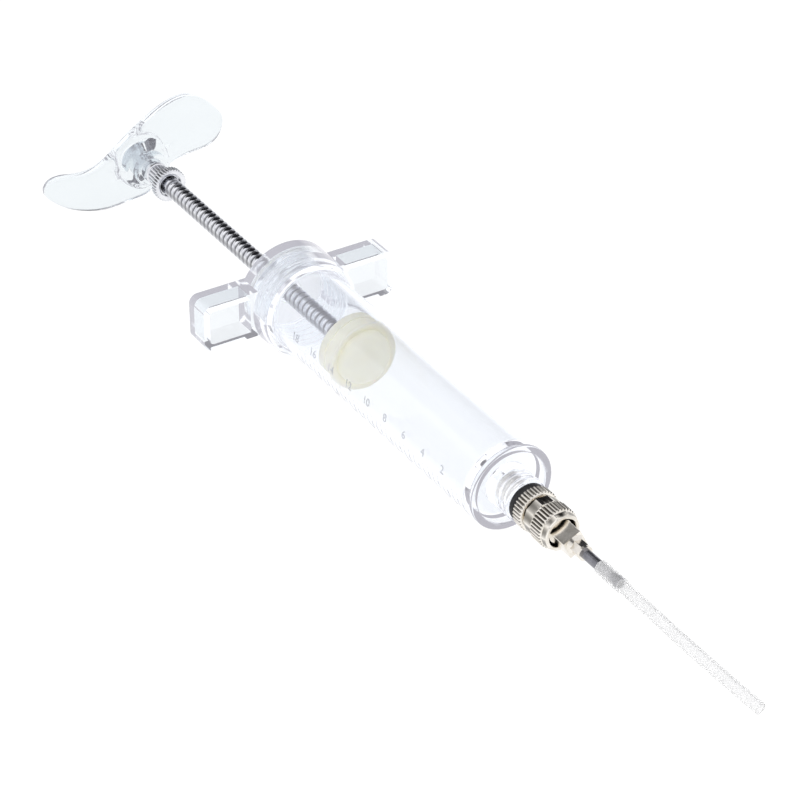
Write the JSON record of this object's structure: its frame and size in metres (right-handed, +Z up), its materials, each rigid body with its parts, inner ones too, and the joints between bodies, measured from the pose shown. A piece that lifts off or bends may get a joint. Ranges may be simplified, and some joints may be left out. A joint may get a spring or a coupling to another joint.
{
  "type": "dose syringe",
  "caption": "Clear-barrelled dose syringe with palm handle, finger wings, threaded piston rod, dose stop and a soft feeding tube on a cannula.",
  "frame": {"origin": "bottom centre of the syringe as it lies on a table, without its soft tube", "axes": "+X along the syringe axis towards the tube, +Y towards one finger wing, +Z up"},
  "size_m": [0.2671, 0.0529, 0.0276],
  "materials": {
    "clear_plastic": "polished, clear",
    "clear_rubber": "smooth, milky",
    "chromed_rod": "bright plating",
    "nickel": "bright nickel plating, slightly warm",
    "steel": "drawn, satin",
    "piston_plastic": "satin",
    "piston_rubber": "smooth silicone",
    "black_rubber": "smooth",
    "silicone": "smooth, milky and translucent"
  },
  "bodies": {
    "barrel_body": {"barrel": "clear_plastic", "nozzle_gasket": "black_rubber", "nozzle_stem": "nickel", "luer_cone": "nickel"},
    "cap_washer_body": {"cap_washer": "clear_rubber"},
    "cap_body": {"screw_cap": "clear_plastic"},
    "piston_body": {"piston_back_plate": "piston_plastic", "piston_seal": "piston_rubber", "piston_core": "piston_plastic", "piston_nose": "piston_plastic"},
    "rod_body": {"piston_rod": "chromed_rod", "palm_handle": "clear_plastic", "handle_insert": "clear_plastic", "handle_pin": "steel"},
    "dose_sleeve_body": {"dose_sleeve": "chromed_rod"},
    "dose_ring_body": {"dose_ring": "chromed_rod"},
    "lock_ring_body": {"lock_ring": "nickel"},
    "needle_body": {"needle_hub": "nickel", "cannula": "steel", "feeding_tube": "silicone"}
  },
  "joints": [
    {"name": "plunger_stroke", "type": "slide", "parent": "barrel_body", "child": "piston_body", "axis": [-1, 0, 0], "range_m": [-0.0538, 0.0278]},
    {"name": "rod_spin", "type": "hinge", "parent": "piston_body", "child": "rod_body", "pos_m": [0, 0, 0.013], "axis": [1, 0, 0], "continuous": true},
    {"name": "dose_nut_travel", "type": "slide", "parent": "rod_body", "child": "dose_sleeve_body", "axis": [1, 0, 0], "range_m": [0, 0.05]},
    {"name": "dose_ring_turn", "type": "hinge", "parent": "dose_sleeve_body", "child": "dose_ring_body", "pos_m": [0, 0, 0.013], "axis": [1, 0, 0], "range_deg": [0, 9001]},
    {"name": "cap_travel", "type": "slide", "parent": "barrel_body", "child": "cap_washer_body", "axis": [-1, 0, 0], "range_m": [0, 0.008]},
    {"name": "cap_turn", "type": "hinge", "parent": "cap_washer_body", "child": "cap_body", "pos_m": [0, 0, 0.013], "axis": [-1, 0, 0], "range_deg": [0, 1440]},
    {"name": "lock_ring_spin", "type": "hinge", "parent": "barrel_body", "child": "lock_ring_body", "pos_m": [0, 0, 0.013], "axis": [1, 0, 0], "continuous": true},
    {"name": "needle_twist", "type": "hinge", "parent": "barrel_body", "child": "needle_body", "pos_m": [0, 0, 0.013], "axis": [1, 0, 0], "continuous": true}
  ],
  "couplings": [
    {"joint": "dose_ring_turn", "follows": "dose_nut_travel", "rad_per_m": 3141.6},
    {"joint": "cap_travel", "follows": "cap_turn", "m_per_rad": 0.00031831}
  ]
}
